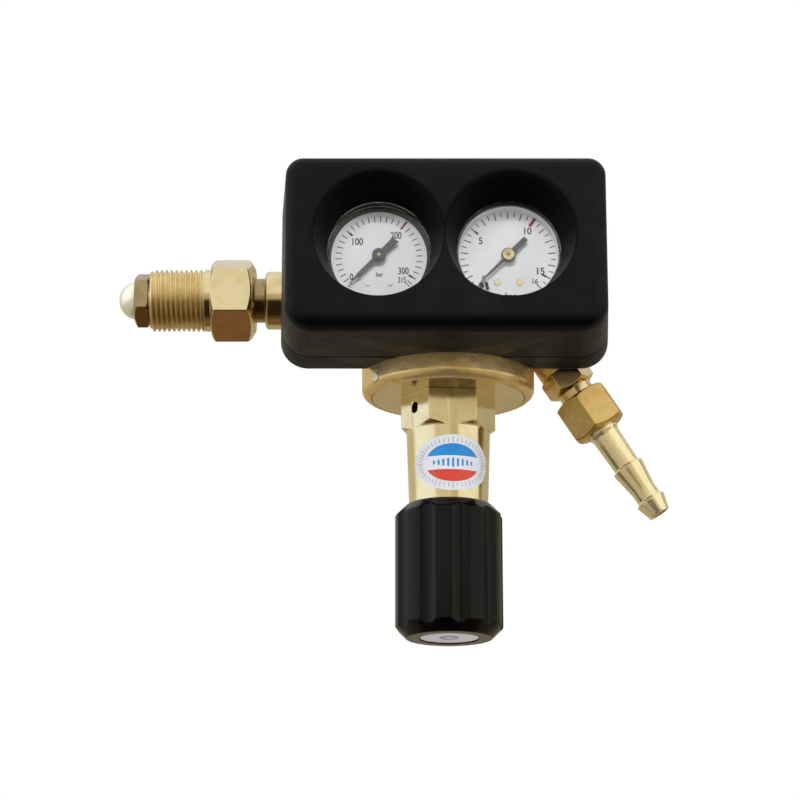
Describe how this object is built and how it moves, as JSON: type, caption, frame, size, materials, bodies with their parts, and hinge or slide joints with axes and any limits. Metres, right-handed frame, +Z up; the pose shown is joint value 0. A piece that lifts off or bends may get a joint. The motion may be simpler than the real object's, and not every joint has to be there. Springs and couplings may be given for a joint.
{
  "type": "oxygen regulator",
  "caption": "Oxygen cylinder regulator: paired gauges in a rubber boot, side inlet with a swivel nut, hanging bonnet with an adjusting knob, and an angled outlet with a hose tail.",
  "frame": {"origin": "on the inlet axis, at the shoulder where the inlet nut's thread meets its hexagon", "axes": "-X along the inlet thread towards the cylinder valve, +Z up with the bonnet hanging down, the gauges face -Y"},
  "size_m": [0.2007, 0.0917, 0.1616],
  "materials": {
    "forged_brass": "satin, forged and turned",
    "turned_brass": "turned, semi-bright",
    "pale_nose": "smooth, pale",
    "sintered_bronze": "porous",
    "copper": "satin",
    "steel": "zinc plated",
    "knob_plastic": "satin black moulding",
    "cap_plastic": "satin grey",
    "seal_plastic": "waxy",
    "boot_rubber": "satin black rubber",
    "diaphragm_rubber": "matte",
    "gauge_brass": "semi-bright",
    "case_enamel": "black enamel",
    "dial_enamel": "white enamel, printed",
    "pointer_enamel": "dark enamel",
    "clear_window": "clear moulded window"
  },
  "bodies": {
    "regulator": {"body": "forged_brass", "bonnet": "forged_brass", "bonnet_lock_pin": "turned_brass", "diaphragm": "diaphragm_rubber", "diaphragm_slip_ring": "turned_brass", "thrust_washer": "seal_plastic", "valve_seat": "turned_brass", "chamber_plug": "turned_brass", "chamber_plug_seal": "copper", "inlet_stem": "turned_brass", "inlet_nose": "pale_nose", "inlet_filter": "sintered_bronze", "outlet_adapter": "turned_brass", "hose_tail": "turned_brass", "relief_cap": "turned_brass", "gauge_boot": "boot_rubber", "main_spring": "steel", "poppet_spring": "steel", "relief_spring": "steel", "high_gauge_seal": "seal_plastic", "high_gauge_socket": "gauge_brass", "high_gauge_case": "case_enamel", "high_gauge_tube": "gauge_brass", "high_gauge_movement": "gauge_brass", "high_gauge_dial": "dial_enamel", "high_gauge_dial_screws": "gauge_brass", "high_gauge_window": "clear_window", "low_gauge_seal": "seal_plastic", "low_gauge_socket": "gauge_brass", "low_gauge_case": "case_enamel", "low_gauge_tube": "gauge_brass", "low_gauge_movement": "gauge_brass", "low_gauge_dial": "dial_enamel", "low_gauge_dial_screws": "gauge_brass", "low_gauge_window": "clear_window"},
    "inlet_nut": {"inlet_nut": "turned_brass"},
    "union_nut": {"union_nut": "turned_brass"},
    "knob": {"knob": "knob_plastic", "knob_nut": "steel", "knob_cap": "cap_plastic", "adjusting_screw": "steel"},
    "spring_carrier": {"spring_carrier": "turned_brass"},
    "diaphragm_pads": {"diaphragm_pad": "steel", "spring_pad": "steel"},
    "valve": {"valve_poppet": "turned_brass", "poppet_disc": "seal_plastic", "valve_pin": "steel"},
    "relief_poppet": {"relief_poppet": "steel"},
    "high_pointer": {"high_gauge_pointer": "pointer_enamel", "high_gauge_pinion": "gauge_brass"},
    "high_sector": {"high_gauge_sector": "gauge_brass"},
    "high_link": {"high_gauge_link": "steel"},
    "low_pointer": {"low_gauge_pointer": "pointer_enamel", "low_gauge_pinion": "gauge_brass"},
    "low_sector": {"low_gauge_sector": "gauge_brass"},
    "low_link": {"low_gauge_link": "steel"}
  },
  "joints": [
    {"name": "inlet_nut_turn", "type": "hinge", "parent": "regulator", "child": "inlet_nut", "pos_m": [0, 0, 0], "axis": [1, 0, 0], "continuous": true},
    {"name": "union_nut_turn", "type": "hinge", "parent": "regulator", "child": "union_nut", "pos_m": [0.1315, 0, -0.0319], "axis": [0.5446, 0, -0.8387], "continuous": true},
    {"name": "knob_turn", "type": "hinge", "parent": "regulator", "child": "knob", "pos_m": [0.0869, 0, -0.1], "axis": [0, 0, 1], "range_deg": [0, 1800]},
    {"name": "carrier_travel", "type": "slide", "parent": "regulator", "child": "spring_carrier", "axis": [0, 0, 1], "range_m": [0, 0.00876], "deforming": ["main_spring"]},
    {"name": "diaphragm_lift", "type": "slide", "parent": "regulator", "child": "diaphragm_pads", "axis": [0, 0, 1], "range_m": [0, 0.001], "deforming": ["diaphragm"]},
    {"name": "valve_lift", "type": "slide", "parent": "regulator", "child": "valve", "axis": [0, 0, 1], "range_m": [0, 0.001], "deforming": ["poppet_spring"]},
    {"name": "relief_lift", "type": "slide", "parent": "regulator", "child": "relief_poppet", "axis": [0, 0, 1], "range_m": [0, 0.0015], "stiffness_N_per_m": 1500, "deforming": ["relief_spring"]},
    {"name": "high_pointer_turn", "type": "hinge", "parent": "regulator", "child": "high_pointer", "pos_m": [0.0618, -0.035, 0.0058], "axis": [0, 1, 0], "range_deg": [0, 270.08]},
    {"name": "high_sector_turn", "type": "hinge", "parent": "regulator", "child": "high_sector", "pos_m": [0.06951, -0.029, -0.00417], "axis": [0, 1, 0], "range_deg": [-33.75, 0], "stiffness_Nm_per_rad": 0.002},
    {"name": "high_link_turn", "type": "hinge", "parent": "high_sector", "child": "high_link", "pos_m": [0.07351, -0.029, -0.00417], "axis": [0, 1, 0], "range_deg": [0, 33.76]},
    {"name": "low_pointer_turn", "type": "hinge", "parent": "regulator", "child": "low_pointer", "pos_m": [0.108, -0.035, 0.0058], "axis": [0, 1, 0], "range_deg": [0, 270.08]},
    {"name": "low_sector_turn", "type": "hinge", "parent": "regulator", "child": "low_sector", "pos_m": [0.11571, -0.029, -0.00417], "axis": [0, 1, 0], "range_deg": [-33.75, 0], "stiffness_Nm_per_rad": 0.002},
    {"name": "low_link_turn", "type": "hinge", "parent": "low_sector", "child": "low_link", "pos_m": [0.11971, -0.029, -0.00417], "axis": [0, 1, 0], "range_deg": [0, 33.76]}
  ],
  "couplings": [
    {"joint": "carrier_travel", "follows": "knob_turn", "m_per_rad": 0.00027852},
    {"joint": "diaphragm_lift", "follows": "knob_turn", "m_per_rad": 0.00003183},
    {"joint": "valve_lift", "follows": "knob_turn", "m_per_rad": 0.00003183},
    {"joint": "high_pointer_turn", "follows": "high_sector_turn", "ratio": -8},
    {"joint": "high_link_turn", "follows": "high_sector_turn", "ratio": -1},
    {"joint": "low_pointer_turn", "follows": "low_sector_turn", "ratio": -8},
    {"joint": "low_link_turn", "follows": "low_sector_turn", "ratio": -1}
  ]
}
